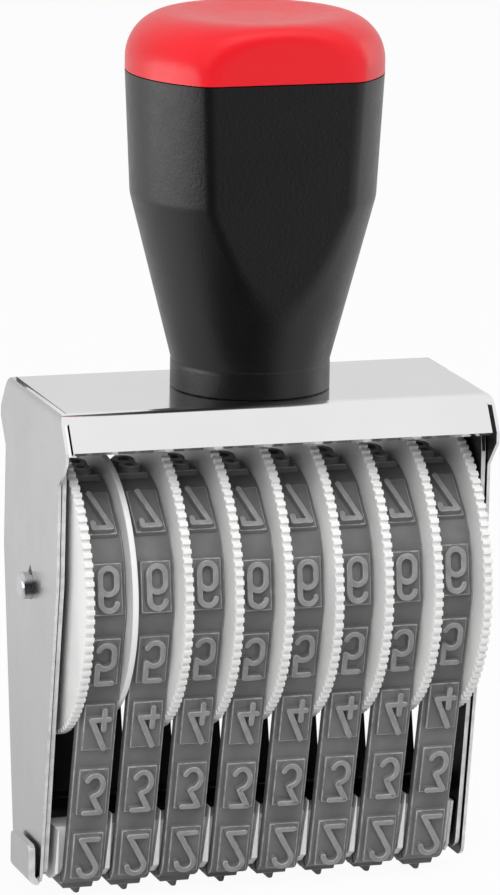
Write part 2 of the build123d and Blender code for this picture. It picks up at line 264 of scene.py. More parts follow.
def map_range(tree, value, limits):
    """A value brought from one range to another, held at its ends."""
    node = tree.nodes.new("ShaderNodeMapRange")
    for socket, limit in zip(("From Min", "From Max", "To Min", "To Max"), limits):
        node.inputs[socket].default_value = limit
    tree.links.new(value, node.inputs["Value"])
    return node.outputs["Result"]


def larger(tree, first, second):
    """The larger of two values."""
    node = tree.nodes.new("ShaderNodeMath")
    node.operation = "MAXIMUM"
    tree.links.new(first, node.inputs[0])
    tree.links.new(second, node.inputs[1])
    return node.outputs["Value"]


def vary_roughness(material, pattern, low, high):
    """The roughness runs from low to high with a pattern."""
    tree = material.node_tree
    spread = map_range(tree, pattern, (0.3, 0.7, low, high))
    tree.links.new(spread, tree.nodes["Principled BSDF"].inputs["Roughness"])


def emboss(material, pattern, depth):
    """The pattern stands up from the surface by a depth in metres."""
    tree = material.node_tree
    bump = tree.nodes.new("ShaderNodeBump")
    bump.inputs["Strength"].default_value = 1.0
    bump.inputs["Distance"].default_value = depth
    tree.links.new(pattern, bump.inputs["Height"])
    tree.links.new(bump.outputs["Normal"], tree.nodes["Principled BSDF"].inputs["Normal"])


def drift(material, colour, roughness, grain):
    """Colour and roughness drift between limits, each at a scale. A grain stands up by a depth in mm."""
    vary_colour(material, noise(material, colour[0]), *colour[1:])
    vary_roughness(material, noise(material, roughness[0]), *roughness[1:])
    scale, detail, depth = grain
    emboss(material, noise(material, scale, detail), depth * MM)


# %% [markdown]
# ### Metals
# The cover is bent from plated sheet. Its roof and lips are polished and its side plates are duller. What
# faces inwards gets a painted shade: a darker copy of the chrome, since it lies in the dark. A sheared edge
# shows steel without plate. A polished metal shows its surroundings, so most of its look comes from the
# roughness and from the room set up further down.

# %% Chrome and steel
chrome = finish("chrome_plate", paint(231, 231, 232), 1.0, 0.1)
drift(chrome, (60, paint(228, 228, 229), paint(234, 234, 235)), (140, 0.08, 0.14), (2600, 3.0, 0.0004))

side_chrome = finish("satin_side_plate", paint(198, 198, 199), 1.0, 0.26)
drift(side_chrome, (60, paint(194, 194, 195), paint(202, 202, 203)), (300, 0.22, 0.3), (2600, 3.0, 0.0008))

inner_chrome = finish("inner_chrome_plate", paint(160, 160, 162), 1.0, 0.26)
drift(inner_chrome, (80, paint(150, 150, 152), paint(168, 168, 170)), (220, 0.2, 0.34), (2600, 3.0, 0.0008))

# Painted shade: a darker copy of the chrome, for the faces of the sheets that face inwards, where little
# light reaches.
painted_shade_chrome = finish("painted_shade_chrome_inside", paint(74, 74, 76), 1.0, 0.4)
drift(painted_shade_chrome, (200, paint(62, 62, 64), paint(86, 86, 88)), (500, 0.32, 0.48), (2600, 3.0, 0.002))

cut_steel = finish("sheared_sheet_edge", paint(222, 222, 223), 0.15, 0.5)
drift(cut_steel, (900, paint(206, 206, 208), paint(234, 234, 235)), (1500, 0.4, 0.6), (3000, 3.0, 0.006))

turned_steel = finish("turned_steel", paint(205, 205, 207), 1.0, 0.22)
turning_marks = noise(turned_steel, 400, stretch=(6, 1, 1))
vary_colour(turned_steel, turning_marks, paint(190, 190, 193), paint(214, 214, 216))
vary_roughness(turned_steel, noise(turned_steel, 700, stretch=(8, 1, 1)), 0.16, 0.3)
emboss(turned_steel, noise(turned_steel, 2400, stretch=(8, 1, 1)), 0.0012 * MM)
print("last metal:", turned_steel.name)

# %% [markdown]
# ### Plastics
# The wheels are smooth white mouldings. The black handle and the red cap have the fine grain of an etched
# mould: a noise with a grain of about 0.4 mm, raised by a few hundredths of a millimetre.

# %% Moulded plastics
white_plastic = finish("white_moulding", paint(240, 240, 239), 0.0, 0.4)
smooth_grain = (2200, 3.0, 0.003)
drift(white_plastic, (110, paint(236, 236, 235), paint(243, 243, 242)), (500, 0.34, 0.47), smooth_grain)

black_plastic = finish("black_moulding", paint(15, 15, 16), 0.0, 0.36)
drift(black_plastic, (90, paint(12, 12, 13), paint(17, 17, 18)), (700, 0.33, 0.39), (2600, 4.0, 0.022))

polished_black = finish("polished_black_bar", paint(14, 14, 15), 0.0, 0.16)
drift(polished_black, (200, paint(11, 11, 12), paint(18, 18, 19)), (700, 0.1, 0.24), (1800, 3.0, 0.003))

red_plastic = finish("red_moulding", paint(230, 10, 28), 0.0, 0.34)
red_plastic.node_tree.nodes["Principled BSDF"].inputs["Specular IOR Level"].default_value = 0.6
drift(red_plastic, (90, paint(227, 8, 25), paint(233, 13, 32)), (700, 0.32, 0.37), (2600, 4.0, 0.016))
print("last plastic:", red_plastic.name)

# %% [markdown]
# ### Rubber and fabric
# The bands are matt grey rubber. Use has rubbed the tops of the figures paler, so they get a finish of their
# own. The thin edges get a paler finish still, which is partly wear and partly a painted highlight. The back
# of a band is a woven fabric: two crossed sets of ribs from a wave pattern, which need a map that follows the
# band.

# %% Rubber and its fabric
rubber = finish("grey_rubber", paint(113, 113, 114), 0.0, 0.62)
drift(rubber, (260, paint(106, 106, 107), paint(120, 120, 121)), (900, 0.55, 0.72), (4200, 5.0, 0.008))

rubbed_rubber = finish("rubbed_rubber", paint(144, 144, 145), 0.0, 0.55)
rubbed_grain = (4200, 5.0, 0.006)
drift(rubbed_rubber, (900, paint(134, 134, 135), paint(152, 152, 153)), (1200, 0.48, 0.64), rubbed_grain)

# The pale edge finish: partly wear, and partly a painted highlight where an edge would catch the light.
worn_and_highlit_edge = finish("worn_and_highlit_rubber_edge", paint(160, 160, 161), 0.0, 0.55)
edge_grain = (4200, 5.0, 0.004)
drift(worn_and_highlit_edge, (1100, paint(132, 132, 133), paint(184, 184, 185)), (1800, 0.48, 0.64), edge_grain)


def woven(name, dark, light, threads_per_mm):
    """Plain weave: two crossed sets of ribs on the band's own UV map, which is in metres."""
    material = finish(name, dark, 0.0, 0.85)
    tree = material.node_tree
    place = tree.nodes.new("ShaderNodeTexCoord")
    ribs = []
    for direction in ("X", "Y"):
        wave = tree.nodes.new("ShaderNodeTexWave")
        wave.bands_direction = direction
        wave.inputs["Scale"].default_value = threads_per_mm / MM / 2 / pi
        wave.inputs["Distortion"].default_value = 0.6
        tree.links.new(place.outputs["UV"], wave.inputs["Vector"])
        ribs.append(wave.outputs["Fac"])
    weave = larger(tree, *ribs)
    vary_colour(material, weave, dark, light)
    emboss(material, weave, 0.05 * MM)
    return material


fabric = woven("band_fabric", paint(62, 62, 63), paint(158, 158, 159), 2.4)
print("finishes:", len(bpy.data.materials))

# %% [markdown]
# ## Toothed wheels
# A wheel is a thin flange with a hundred rounded teeth beside a drum that carries the band. The rim is
# drawn as a cylinder with four faces a tooth. Two of each four are extruded outwards, and a small bevel
# rounds them as a mould would. The teeth are modelled once, and the other wheels are copies.

# %% Sizes of a wheel
wheel_low, wheel_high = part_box("wheel_2")
flange_radius = (wheel_high.y - wheel_low.y) / 2
flange_thickness = 0.95 * MM
tooth_count = 100
tooth_height = 0.42 * MM
tooth_round = 0.13 * MM
drum_radius = 11.05 * MM
bore_radius = 1.8 * MM
wheel_width = wheel_high.x - wheel_low.x
print("wheel radius and width in mm:", round(flange_radius / MM, 2), round(wheel_width / MM, 2))


# %% Model one wheel, flange on the right, on the axle line at x = 0
def rim_face(face):
    """Two of each four faces round the rim become a tooth."""
    if abs(face.normal.x) > 0.5:
        return False
    turn = atan2(face.center.z - axle_height, face.center.y) / (2 * pi)
    return int(turn * 4 * tooth_count + 4 * tooth_count) % 4 < 2


def rod(name, sides, radius, length, middle):
    """A cylinder along the axle line."""
    bpy.ops.mesh.primitive_cylinder_add(
        vertices=sides, radius=radius, depth=length,
        location=(middle, 0, axle_height), rotation=(0, pi / 2, 0),
    )
    return added(name)


def model_wheel():
    rim_radius = flange_radius - tooth_height
    flange_middle = wheel_width - flange_thickness / 2
    wheel = rod("wheel_pattern", 4 * tooth_count, rim_radius, flange_thickness, flange_middle)
    pick(wheel, rim_face)
    bpy.ops.mesh.extrude_region_shrink_fatten(TRANSFORM_OT_shrink_fatten={"value": tooth_height})
    close_edit()
    modify(wheel, "BEVEL", width=tooth_round, segments=2, limit_method="ANGLE", angle_limit=radians(40))
    drum = rod("drum", 96, drum_radius, flange_middle, flange_middle / 2)
    modify(wheel, "BOOLEAN", object=drum, operation="UNION", solver="EXACT")
    remove(drum)
    bore = rod("bore", 48, bore_radius, 3 * wheel_width, wheel_width / 2)
    modify(wheel, "BOOLEAN", object=bore, operation="DIFFERENCE", solver="EXACT")
    remove(bore)
    return smooth(tidy(wheel), 30)


wheel_pattern = model_wheel()
print("wheel pattern reaches in mm:", [round(v / MM, 2) for v in wheel_pattern.dimensions])


# %% Copy the wheel to its eight places
def place_wheel(number):
    node = f"wheel_{number}"
    wheel = duplicate(wheel_pattern, f"toothed_{node}")
    axle_point = Vector((wheel_width / 2, 0, axle_height))
    only(wheel)
    if number == 1:
        bpy.ops.transform.rotate(value=pi, orient_axis="Z", center_override=axle_point)
    tooth_turn = radians(360 / tooth_count) * (number * 0.37 % 1)
    bpy.ops.transform.rotate(value=tooth_turn, orient_axis="X", center_override=axle_point)
    move(wheel, (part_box(node)[0].x, 0, 0))
    wheel.data.materials.append(white_plastic)
    belongs(wheel, f"{node}_body", "white_plastic", node)


for number in range(1, 9):
    place_wheel(number)
remove(wheel_pattern)

# %% [markdown]
# ## The loop that a band follows
# A band lies flat along the printing line, bends round the edge of the anvil, runs straight up to its drum,
# goes round that, and comes down again. It stays flat under each raised pad and bends between the pads, so
# each pad and its figure can be placed without bending them.

# %% Sizes of a band
band_low, band_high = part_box("band_1")
band_width = band_high.x - band_low.x
figures = 14
band_thickness = 1.2 * MM
pad_width = 3.65 * MM
pad_length = 5.9 * MM
pad_height = 0.55 * MM
figure_relief = 0.65 * MM
drum_line = 11.75 * MM
anvil_flat = 5.8 * MM
anvil_line = 1.4 * MM
line_height = figure_relief + pad_height + band_thickness / 2
corner_height = line_height + anvil_line
rise = axle_height - corner_height
reach = hypot(anvil_flat / 2, rise)
lean = asin((drum_line - anvil_line) / reach) - atan2(anvil_flat / 2, rise)
run_length = (reach**2 - (drum_line - anvil_line) ** 2) ** 0.5
corner_length = anvil_line * (pi / 2 - lean)
band_length = anvil_flat + 2 * corner_length + 2 * run_length + drum_line * (pi + 2 * lean)
figure_step = band_length / figures
print("band length and step in mm:", round(band_length / MM, 2), round(figure_step / MM, 3))


# %% Where a figure lies on the loop
def band_place(travel):
    """Matrix that puts a flat figure on the loop: X along the axle, Y along the band, Z outwards."""
    travel %= band_length
    side = -1 if travel <= band_length / 2 else 1
    along = min(travel, band_length - travel)
    flat = anvil_flat / 2
    if along <= flat:
        across, up, turn = along, line_height, 0.0
    elif along <= flat + corner_length:
        turn = (along - flat) / anvil_line
        across = flat + anvil_line * sin(turn)
        up = corner_height - anvil_line * cos(turn)
    elif along <= flat + corner_length + run_length:
        run = along - flat - corner_length
        turn = pi / 2 - lean
        across = flat + anvil_line * cos(lean) + run * sin(lean)
        up = corner_height - anvil_line * sin(lean) + run * cos(lean)
    else:
        turn = pi / 2 - lean + (along - flat - corner_length - run_length) / drum_line
        across = drum_line * sin(turn)
        up = axle_height - drum_line * cos(turn)
    outward = Vector((0, side * sin(turn), -cos(turn)))
    axle_line = Vector((1, 0, 0))
    onward = outward.cross(axle_line)
    turned = Matrix((axle_line, onward, outward)).transposed()
    return Matrix.Translation((0, side * across, up)) @ turned.to_4x4()


def band_places(slip):
    """The places of all figures on a band that has slipped back a little on its drum."""
    return [band_place(number * figure_step - slip) for number in range(figures)]


slips = (0.44 * MM, 0.85 * MM)
slipped_further = (4, 5, 6, 7)
print("figure places on a band:", len(band_places(slips[0])))

# %% [markdown]
# ## Figures
# A figure is a line of even width drawn through the middle of its strokes. A curve sweeps a sloping section
# along that line, and a short cone closes each end and fills each sharp corner, which gives the round ends
# of moulded type. The figures read the right way round only in print, so they are drawn turned over.

# %% Sizes of a figure
stroke_top = 0.23 * MM
stroke_edge = 0.08 * MM
stroke_foot = 0.46 * MM
figure_root = 0.12 * MM
end_sunk = 0.003 * MM
half_wide = 0.96
half_tall = 2.32
sharp_turn = radians(35)
print("figure height in mm:", round(2 * (half_tall + stroke_top / MM), 2))


# %% Strokes of the figures, in millimetres about the middle of the pad
def arc(centre, radii, start, end, steps=14):
    """Points on an ellipse, with angles in degrees from the right, anticlockwise."""
    turns = [radians(start + (end - start) * step / steps) for step in range(steps + 1)]
    return [(centre[0] + radii[0] * cos(t), centre[1] + radii[1] * sin(t)) for t in turns]


bowl_radius = 0.92
bowl_low = -half_tall + bowl_radius
bowl_high = bowl_low + 1.0
round_bowl = (half_wide, 1.25)
six = [
    arc((0, bowl_high), (bowl_radius, bowl_radius), 180, 0)
    + arc((0, bowl_low), (bowl_radius, bowl_radius), 0, -180)
    + [(-bowl_radius, bowl_high)],
    [(-bowl_radius, bowl_high)] + arc((0, half_tall - bowl_radius), (bowl_radius, bowl_radius), 180, 12),
]
strokes = {
    "0": [arc((0, 0), (half_wide, half_tall), 90, 450, 28)],
    "1": [[(-0.75, 1.45), (0, half_tall), (0, -half_tall)]],
    "2": [
        arc((0, half_tall - half_wide), (half_wide, half_wide), 175, -30)
        + [(-half_wide, -half_tall), (half_wide, -half_tall)]
    ],
    "3": [
        [(-half_wide, half_tall), (half_wide * 0.9, half_tall), (-0.15, 0.35)]
        + arc((0, round_bowl[1] - half_tall), round_bowl, 88, -150)
    ],
    "4": [
        [(0.6, half_tall), (-half_wide, -1.2), (half_wide * 1.05, -1.2)],
        [(0.45, 0.0), (0.45, -half_tall)],
    ],
    "5": [
        [(0.8, half_tall), (-0.85, half_tall), (-0.85, 0.1)]
        + arc((0, bowl_high), (bowl_radius, bowl_radius), 128, 0)
        + arc((0, bowl_low), (bowl_radius, bowl_radius), 0, -160)
    ],
    "6": six,
    "7": [
        [(-half_wide, half_tall - 0.7), (-half_wide, half_tall), (half_wide, half_tall), (-0.6, -half_tall)]
    ],
    "8": [
        arc((0, half_tall - 1.0), (half_wide * 0.84, 1.0), 90, 450, 22),
        arc((0, -half_tall + 1.2), (half_wide, 1.2), 90, 450, 24),
    ],
    "9": [[(-across, -up) for across, up in line] for line in six],
    "dash": [[(-half_wide * 0.8, 0), (half_wide * 0.8, 0)]],
    "slash": [[(-half_wide * 0.8, -half_tall * 0.8), (half_wide * 0.8, half_tall * 0.8)]],
    "stop": [[(-0.02, -half_tall), (0.02, -half_tall)]],
}
order = ["1", "2", "3", "4", "5", "6", "7", "8", "9", "dash", "slash", "stop", None, "0"]
print("figures on a band:", len(order))


# %% Sweep a stroke and round its ends and corners
def section_curve():
    """The section of a stroke for the sweep: sloping sides, chamfered edges and a flat top."""
    curve = bpy.data.curves.new("stroke_section", "CURVE")
    curve.dimensions = "2D"
    spline = curve.splines.new("POLY")
    low, high = -figure_root, figure_relief
    half = [(stroke_foot, low), (stroke_top + stroke_edge, high - stroke_edge), (stroke_top, high)]
    corners = half + [(-across, up) for across, up in reversed(half)]
    spline.points.add(len(corners) - 1)
    for point, (across, up) in zip(spline.points, corners):
        point.co = (across, up, 0, 1)
    spline.use_cyclic_u = True
    return linked("stroke_section", curve)


section = section_curve()


def sharp_runs(line):
    """A stroke as runs that end where it turns sharply, and whether it is one closed ring."""
    if hypot(line[0][0] - line[-1][0], line[0][1] - line[-1][1]) < 0.01:
        return [line[:-1]], True
    runs, run = [], [line[0]]
    for before, here, after in zip(line, line[1:], line[2:]):
        run.append(here)
        first = atan2(here[1] - before[1], here[0] - before[0])
        second = atan2(after[1] - here[1], after[0] - here[0])
        if abs((second - first + pi) % (2 * pi) - pi) > sharp_turn:
            runs.append(run)
            run = [here]
    return runs + [run + [line[-1]]], False


def sweep(points, closed):
    """One run of a stroke, drawn turned over: its top points along -Y."""
    curve = bpy.data.curves.new("stroke", "CURVE")
    curve.dimensions = "3D"
    curve.twist_mode = "Z_UP"
    curve.bevel_mode = "OBJECT"
    curve.bevel_object = section
    curve.use_fill_caps = True
    spline = curve.splines.new("POLY")
    spline.points.add(len(points) - 1)
    for point, (across, up) in zip(spline.points, points):
        point.co = (across * MM, -up * MM, 0, 1)
    spline.use_cyclic_u = closed
    linked("stroke", curve)
    bpy.ops.object.convert(target="MESH")
    return tidy(bpy.context.object)


def stroke_end(across, up):
    """A short cone with a chamfer, to round an end or a corner."""
    wall = figure_root + figure_relief - stroke_edge
    bpy.ops.mesh.primitive_cone_add(
        vertices=20, radius1=stroke_foot, radius2=stroke_top + stroke_edge, depth=wall,
        location=(across * MM, -up * MM, wall / 2 - figure_root - end_sunk),
    )
    end = added("stroke_end")
    pick(end, lambda face: face.normal.z > 0.9)
    bpy.ops.mesh.extrude_region_move(TRANSFORM_OT_translate={"value": (0, 0, stroke_edge)})
    share = stroke_top / (stroke_top + stroke_edge)
    middle = (across * MM, -up * MM, figure_relief)
    bpy.ops.transform.resize(value=(share, share, 1), center_override=middle)
    close_edit()
    return tidy(end)


def model_stroke(line):
    """The runs of a stroke, with a cone at each end and sharp corner."""
    runs, closed = sharp_runs(line)
    parts = [sweep(run, closed) for run in runs]
    if not closed:
        ends = [runs[0][0]] + [run[-1] for run in runs]
        parts += [stroke_end(across, up) for across, up in ends]
    return parts


def model_figure(name):
    """All strokes of a figure in one mesh."""
    parts = [part for line in strokes[name] for part in model_stroke(line)]
    return join(parts, f"figure_{name}")


# %% [markdown]
# ## Pads and belt
# The pad is a low block with sloping sides and softened edges. The belt is drawn as the closed outline of
# the loop, its corners are rounded, and then it is extruded to its width and given its thickness. Belt,
# pads and figures are moulded in one piece, so they are united into one closed mesh.


# %% Model a pad, lying flat with its top at the height of a pad
pad_root = 0.2 * MM
pad_taper = (0.92, 0.95, 1)
pad_edge = 0.1 * MM


def model_pad():
    bpy.ops.mesh.primitive_cube_add(size=1, location=(0, 0, (pad_height - pad_root) / 2))
    pad = bpy.context.object
    pad.scale = (pad_width, pad_length, pad_height + pad_root)
    pad = added("pad_pattern")
    pick(pad, lambda face: face.normal.z > 0.5)
    bpy.ops.transform.resize(value=pad_taper, center_override=(0, 0, pad_height))
    close_edit()
    modify(pad, "BEVEL", width=pad_edge, segments=2, limit_method="ANGLE", angle_limit=radians(40))
    return pad


# %% Model the belt
belt_bend = 0.8 * MM
belt_edge = 0.12 * MM


def model_belt(places):
    """A belt that is flat under each pad, bends between them, and has soft edges."""
    corners = []
    for place in places:
        for end in (-pad_length / 2, pad_length / 2):
            corners.append(place @ Vector((-band_width / 2, end, 0)))
    edges = [(number, (number + 1) % len(corners)) for number in range(len(corners))]
    belt = wire("belt", corners, edges)
    bpy.ops.mesh.bevel(offset=belt_bend, segments=4, affect="VERTICES")
    bpy.ops.mesh.select_all(action="SELECT")
    bpy.ops.mesh.extrude_region_move(TRANSFORM_OT_translate={"value": (band_width, 0, 0)})
    close_edit()
    tidy(belt)
    modify(belt, "SOLIDIFY", thickness=band_thickness, offset=0, use_even_offset=True)
    tidy(belt)
    modify(belt, "BEVEL", width=belt_edge, segments=2, limit_method="ANGLE", angle_limit=radians(60))
    return belt


# %% Put pads and figures on the belt
def model_band(places):
    """Belt, pads and figures united into one closed mesh."""
    belt = model_belt(places)
    pad_pattern = model_pad()
    raised = []
    for place, name in zip(places, order):
        lift = place @ Matrix.Translation((0, 0, band_thickness / 2))
        pad = duplicate(pad_pattern, "pad")
        pad.data.transform(lift)
        raised.append(pad)
        if name:
            figure = model_figure(name)
            figure.data.transform(lift @ Matrix.Translation((0, 0, pad_height)))
            raised.append(figure)
    remove(pad_pattern)
    type_faces = join(raised, "type_faces")
    modify(belt, "BOOLEAN", object=type_faces, operation="UNION", solver="EXACT", use_self=True)
    remove(type_faces)
    tidy(belt)
    belt.name = "band_pattern"
    return belt


band_patterns = [model_band(band_places(slip)) for slip in slips]
remove(section)
print("band pattern reaches in mm:", [round(v / MM, 2) for v in band_patterns[0].dimensions])

# %% [markdown]
# ## What faces in, out and up
# The inside of a band is woven fabric, its outside is rubber, and the tops of the figures are paler where
# they have been rubbed. Each face is measured from the nearest figure's place, which also gives the band
# its UV map: along the band and across it, in metres.


# %% Sort the faces of the band and lay out its UV map
def measure(point, places):
    """Figure number and flat coordinates of a point on the band."""
    in_plane = Vector((0, point.y, point.z))
    number = min(range(figures), key=lambda index: (places[index].translation - in_plane).length)
    return number, places[number].inverted() @ point


def finish_band(band, places):
    """Give each face of a band its finish and its place on the map."""
    for material in (rubber, rubbed_rubber, fabric, worn_and_highlit_edge):
        band.data.materials.append(material)
    hair = 0.02 * MM
    top = band_thickness / 2 + pad_height + figure_relief - hair
    inside = -band_thickness / 2 + hair
    pad_side = band_thickness / 2 + 0.3 * MM
    layer = band.data.uv_layers.new(name="band_map")
    for face in band.data.polygons:
        number, flat = measure(face.center, places)
        inverse = places[number].inverted()
        upright = (inverse.to_3x3() @ face.normal).z
        on_edge = flat.z > pad_side or abs(face.normal.x) > 0.2
        # Sloping faces at the edges get the pale edge finish: partly wear, partly a painted highlight.
        if on_edge and 0.3 < upright < 0.95:
            face.material_index = 3
        elif flat.z > top:
            face.material_index = 1
        elif flat.z < inside:
            face.material_index = 2
        for loop in face.loop_indices:
            corner = inverse @ band.data.vertices[band.data.loops[loop].vertex_index].co
            layer.data[loop].uv = (number * figure_step + corner.y, corner.x)
    return smooth(band, 30)


for pattern, slip in zip(band_patterns, slips):
    finish_band(pattern, band_places(slip))


# %% Copy the band to its eight places
def place_band(number):
    node = f"band_{number}"
    low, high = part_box(node)
    pattern = band_patterns[number in slipped_further]
    band = duplicate(pattern, f"figure_{node}")
    move(band, ((low.x + high.x) / 2, 0, 0))
    belongs(band, "housing", "grey_rubber", node)


for number in range(1, 9):
    place_band(number)
for pattern in band_patterns:
    remove(pattern)

# %% [markdown]
# ## Sheet metal and mouldings
# The bent sheets, the anvil, the axle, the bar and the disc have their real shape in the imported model. What
# it lacks is the soft edge that catches the light. Each is copied, its doubled points are merged, its flat
# faces are made whole again, and its sharp edges are bevelled by a tenth of a millimetre. Before that,
# the sheets are pressed to their real thickness, which is less than a collision shape can bear, and
# their legs lean a little, as on the real one.


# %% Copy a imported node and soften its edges
def merged_copy(node, name):
    """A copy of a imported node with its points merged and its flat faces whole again."""
    piece = duplicate(nodes[node], name)
    tidy(piece, 0.0005 * MM)
    edit(piece, "SELECT")
    bpy.ops.mesh.dissolve_limited(angle_limit=radians(0.4))
    close_edit()
    return piece


def soften(piece, node, width, material, slot):
    """Bevel the sharp edges of a copy, give it its finish and let it stand for its node."""
    modify(piece, "BEVEL", width=width, segments=2, limit_method="ANGLE", angle_limit=radians(32))
    piece.data.materials.clear()
    piece.data.materials.append(material)
    smooth(piece, 32)
    modify(piece, "WEIGHTED_NORMAL", keep_sharp=True)
    belongs(piece, "housing", slot, node)
    return piece


# %% Thin the sheets
legs_start = 23.0 * MM
hook_start = 24.95 * MM
sheet_near = 0.02 * MM
front_near = 0.03 * MM


def press_sheet(piece, packed, pressed):
    """Bring a sheet's two sides from their packed to their real distances from the middle."""
    share = (pressed[1] - pressed[0]) / (packed[1] - packed[0])
    for vertex in piece.data.vertices:
        distance = abs(vertex.co.x)
        if packed[0] - sheet_near < distance < packed[1] + sheet_near:
            distance = pressed[0] + (distance - packed[0]) * share
            vertex.co.x = distance if vertex.co.x > 0 else -distance


def lean_legs(piece, top, height, shift):
    """Lean the legs of a sheet to the left, more the lower they go. The hook stays where it is."""
    for vertex in piece.data.vertices:
        if abs(vertex.co.x) > legs_start and vertex.co.x > -hook_start:
            vertex.co.x -= shift * min(max((top - vertex.co.z) / height, 0), 1)


def set_back(piece, front, shift):
    """Set the straight front edges of the side plates back."""
    for vertex in piece.data.vertices:
        if abs(vertex.co.x) > legs_start and abs(vertex.co.y + front) < front_near:
            vertex.co.y += shift


plate_front = 10.9 * MM
front_set_back = 0.45 * MM
lean_top, lean_height, lean_shift = 54 * MM, 27 * MM, 0.25 * MM
cover = merged_copy("cover", "bent_cover")
press_sheet(cover, (23.95 * MM, 24.7 * MM), (24.35 * MM, 24.7 * MM))
inner_frame = merged_copy("frame", "inner_frame")
press_sheet(inner_frame, (23.2 * MM, 23.95 * MM), (23.7 * MM, 24.2 * MM))
frame_front = -min(vertex.co.y for vertex in inner_frame.data.vertices)
for sheet, front in ((cover, plate_front), (inner_frame, frame_front)):
    lean_legs(sheet, lean_top, lean_height, lean_shift)
    set_back(sheet, front, front_set_back)
print("front edge of the frame in mm:", round(frame_front / MM, 2))

# %% [markdown]
# ## The anvil
# The anvil is a light plastic comb: its fins stand between the bands and guide them, and a cheek closes
# each end. Moulded fins thin towards their tips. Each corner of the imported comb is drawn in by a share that
# grows with its height, which is what a scale with proportional falloff does by hand.

# %% Thin the fins and cheeks of the anvil towards their tops
comb = merged_copy("anvil", "anvil_comb")
fin_foot = 2.1 * MM
fin_reach, fin_narrowing = 0.6 * MM, 0.85
left_thinning = (0.42 * MM, 0.4 * MM)
right_thinning, right_set_back = 0.55 * MM, 1.25 * MM
within, beyond = 0.1 * MM, 0.5 * MM
band_ends = [[corner.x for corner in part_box(f"band_{number}")] for number in range(1, 9)]
gaps = [(left[1] + right[0]) / 2 for left, right in zip(band_ends, band_ends[1:])]
left_end, right_end = band_ends[0][0], band_ends[-1][1]
comb_top = max(vertex.co.z for vertex in comb.data.vertices)
for vertex in comb.data.vertices:
    place = vertex.co
    place.z = max(place.z, fin_foot)
    rise_share = (place.z - fin_foot) / (comb_top - fin_foot)
    for middle in gaps:
        if abs(place.x - middle) < fin_reach:
            place.x = middle + (place.x - middle) * (1 - fin_narrowing * rise_share)
    if left_end - beyond < place.x < left_end + within:
        place.x -= left_thinning[0] + left_thinning[1] * rise_share
    band_line = anvil_flat / 2 + anvil_line + (place.z - line_height) * tan(lean)
    if place.x > right_end - within and place.y < -band_line:
        place.y += right_set_back
    if right_end - within < place.x < right_end + beyond:
        place.x += right_thinning
print("fins:", len(gaps), "comb top in mm:", round(comb_top / MM, 2))

# %% Soften the edges of the sheets and sort their faces
sheet_edge = 0.12 * MM
soften(cover, "cover", sheet_edge, chrome, "chromed_steel")
soften(inner_frame, "frame", sheet_edge, inner_chrome, "chromed_steel")
plate_inside = 24.0 * MM
faces_side, faces_cut, faces_painted_shade = 1, 2, 3
for sheet in (cover, inner_frame):
    for material in (side_chrome, cut_steel, painted_shade_chrome):
        sheet.data.materials.append(material)
    for face in sheet.data.polygons:
        outwards = face.normal.x if face.center.x > 0 else -face.normal.x
        if abs(face.center.x) > legs_start and abs(face.normal.y) > 0.75:
            face.material_index = faces_cut
        # Faces that face inwards, or face out between the plates, get the painted shade.
        elif outwards < -0.7 or abs(face.center.x) < plate_inside and outwards > 0.7:
            face.material_index = faces_painted_shade
        elif outwards > 0.7 and sheet is cover:
            face.material_index = faces_side

# %% Soften the edges of the axle and the mouldings
axle_rod = merged_copy("axle", "axle_rod")
disc = merged_copy("divider_disc", "plain_disc")
bar = merged_copy("tie_bar", "black_bar")
for piece, node, edge, material, slot in (
    (axle_rod, "axle", 0.1 * MM, turned_steel, "bright_steel"),
    (disc, "divider_disc", 0.15 * MM, white_plastic, "white_plastic"),
    (comb, "anvil", 0.06 * MM, white_plastic, "white_plastic"),
    (bar, "tie_bar", 0.12 * MM, polished_black, "black_plastic"),
):
    soften(piece, node, edge, material, slot)

# %% [markdown]
# ## Handle and cap
# Both are turned shapes with a flat at the front and the back. The half outline is spun round the upright
# axis, a tool that keeps every ring round. A flat could be cut with bisect, but its edge is soft, and softer
# on the cap than on the handle. So the points beyond a flat are drawn in to it instead, and those near its
# edge a part of the way.

# %% Sizes of the handle
handle_low, handle_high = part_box("handle_body")
flat_distance = 11.2 * MM
flat_draft = radians(1.6)
top_radius = handle_high.x
roof_height = handle_low.z
seam_height = handle_high.z
print("seam under the cap in mm:", round(seam_height / MM, 2))


# %% Spin a half outline
def spin_outline(name, outline, steps=240):
    """A closed turned shape from (radius, height) points that start and end on the axis."""
    corners = [Vector((radius, 0, height)) for radius, height in outline]
    edges = [(number, number + 1) for number in range(len(corners) - 1)]
    piece = wire(name, corners, edges)
    bpy.ops.mesh.spin(steps=steps, angle=2 * pi, center=(0, 0, 0), axis=(0, 0, 1))
    close_edit()
    return tidy(piece)


axis_clear = 1 * MM


def press_flats(piece, soft_below, soft_above):
    """Draw the front and back in to their leaning flats, with an edge as soft as its place asks."""
    heights = [vertex.co.z for vertex in piece.data.vertices]
    low, high = min(heights), max(heights)
    for vertex in piece.data.vertices:
        radius = hypot(vertex.co.x, vertex.co.y)
        if radius < axis_clear or vertex.co.y == 0:
            continue
        plane = flat_distance - (seam_height - vertex.co.z) * tan(flat_draft)
        flat_radius = plane * radius / abs(vertex.co.y)
        soft = soft_below + (soft_above - soft_below) * (vertex.co.z - low) / (high - low)
        share = min(max(0.5 + 0.5 * (flat_radius - radius) / soft, 0), 1)
        drawn = flat_radius + (radius - flat_radius) * share - soft * share * (1 - share)
        vertex.co.x *= drawn / radius
        vertex.co.y *= drawn / radius


